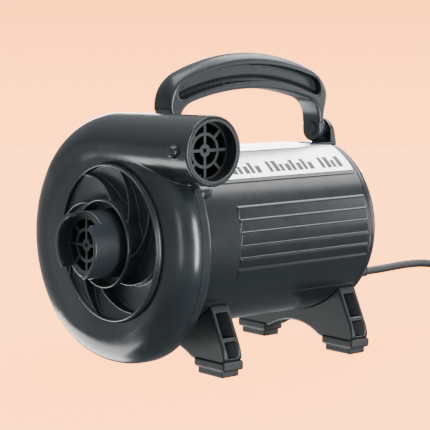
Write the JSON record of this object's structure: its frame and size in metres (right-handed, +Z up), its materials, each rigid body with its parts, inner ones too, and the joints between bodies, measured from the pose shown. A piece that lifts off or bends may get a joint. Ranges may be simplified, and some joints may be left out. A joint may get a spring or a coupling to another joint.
{
  "type": "electric air mattress pump",
  "caption": "Electric air pump with a snail-shaped fan housing, round inlet nozzle, side outlet pipe, ribbed motor housing, folding carry handle, foot saddles and a coiled mains lead.",
  "frame": {"origin": "on the surface that the feet stand on, under the middle of the pump's box without its mains lead", "axes": "+Z up; the inlet nozzle faces -Y, the motor and its lead are towards +Y, and the outlet pipe points along +X"},
  "size_m": [0.2209, 0.3754, 0.213],
  "materials": {
    "volute_plastic": "fine-grained moulded black",
    "inlet_plastic": "smooth moulded black",
    "grille_plastic": "matt black",
    "zinc_steel": "zinc plated",
    "housing_plastic": "fine-grained moulded black",
    "label_foil": "silver printed foil",
    "cap_plastic": "fine-grained moulded black",
    "rocker_plastic": "glossy red",
    "cord_rubber": "semi-matt black",
    "pin_chrome": "bright nickel",
    "handle_plastic": "smooth moulded black",
    "saddle_plastic": "moulded black",
    "foot_rubber": "matt black",
    "bracket_plastic": "glass-filled black",
    "bearing_steel": "ground steel",
    "fan_plastic": "glass-filled black",
    "core_steel": "varnished steel laminations",
    "copper_wire": "enamelled copper",
    "holder_brass": "pressed brass",
    "carbon": "dull carbon",
    "block_plastic": "off-white",
    "capacitor_plastic": "glossy yellow"
  },
  "bodies": {
    "body": {"volute_front_cover": "volute_plastic", "volute_rear_shell": "volute_plastic", "swirl_inlet_plate": "inlet_plastic", "inlet_nozzle": "inlet_plastic", "inlet_grille": "grille_plastic", "outlet_grille": "grille_plastic", "volute_screws": "zinc_steel", "housing_upper_shell": "housing_plastic", "housing_lower_shell": "housing_plastic", "label_plate": "label_foil", "rear_cap": "cap_plastic", "rear_cap_screws": "zinc_steel", "switch_frame": "grille_plastic", "cord_strain_relief": "cord_rubber", "power_cord": "cord_rubber", "cord_coil": "cord_rubber", "cord_tail": "cord_rubber", "plug_body": "cord_rubber", "plug_pins": "pin_chrome", "handle_lug_front": "cap_plastic", "handle_lug_rear": "cap_plastic", "handle_pins": "zinc_steel", "foot_saddle_front": "saddle_plastic", "foot_saddle_rear": "saddle_plastic", "foot_pads": "foot_rubber", "saddle_screws": "zinc_steel", "front_bearing_bracket": "bracket_plastic", "rear_bearing_bracket": "bracket_plastic", "front_bearing": "bearing_steel", "rear_bearing": "bearing_steel", "field_core": "core_steel", "field_coils": "copper_wire", "brush_holders": "holder_brass", "carbon_brushes": "carbon", "brush_springs": "bearing_steel", "terminal_block": "block_plastic", "suppressor_capacitor": "capacitor_plastic", "thermal_cutout": "block_plastic", "cord_clamp": "bracket_plastic"},
    "rotor": {"motor_shaft": "bearing_steel", "impeller": "fan_plastic", "impeller_nut": "zinc_steel", "cooling_fan": "fan_plastic", "armature_core": "core_steel", "armature_windings": "copper_wire", "commutator": "copper_wire"},
    "handle": {"carry_handle": "handle_plastic"},
    "rocker": {"switch_rocker": "rocker_plastic"}
  },
  "joints": [
    {"name": "rotor_spin", "type": "hinge", "parent": "body", "child": "rotor", "pos_m": [0.008, 0, 0.089], "axis": [0, 1, 0], "continuous": true},
    {"name": "handle_fold", "type": "hinge", "parent": "body", "child": "handle", "pos_m": [0.008, 0.0317, 0.1575], "axis": [0, 1, 0], "range_deg": [-90, 90]},
    {"name": "switch_rock", "type": "hinge", "parent": "body", "child": "rocker", "pos_m": [-0.014, 0.1081, 0.052], "axis": [1, 0, 0], "range_deg": [0, 16]}
  ]
}
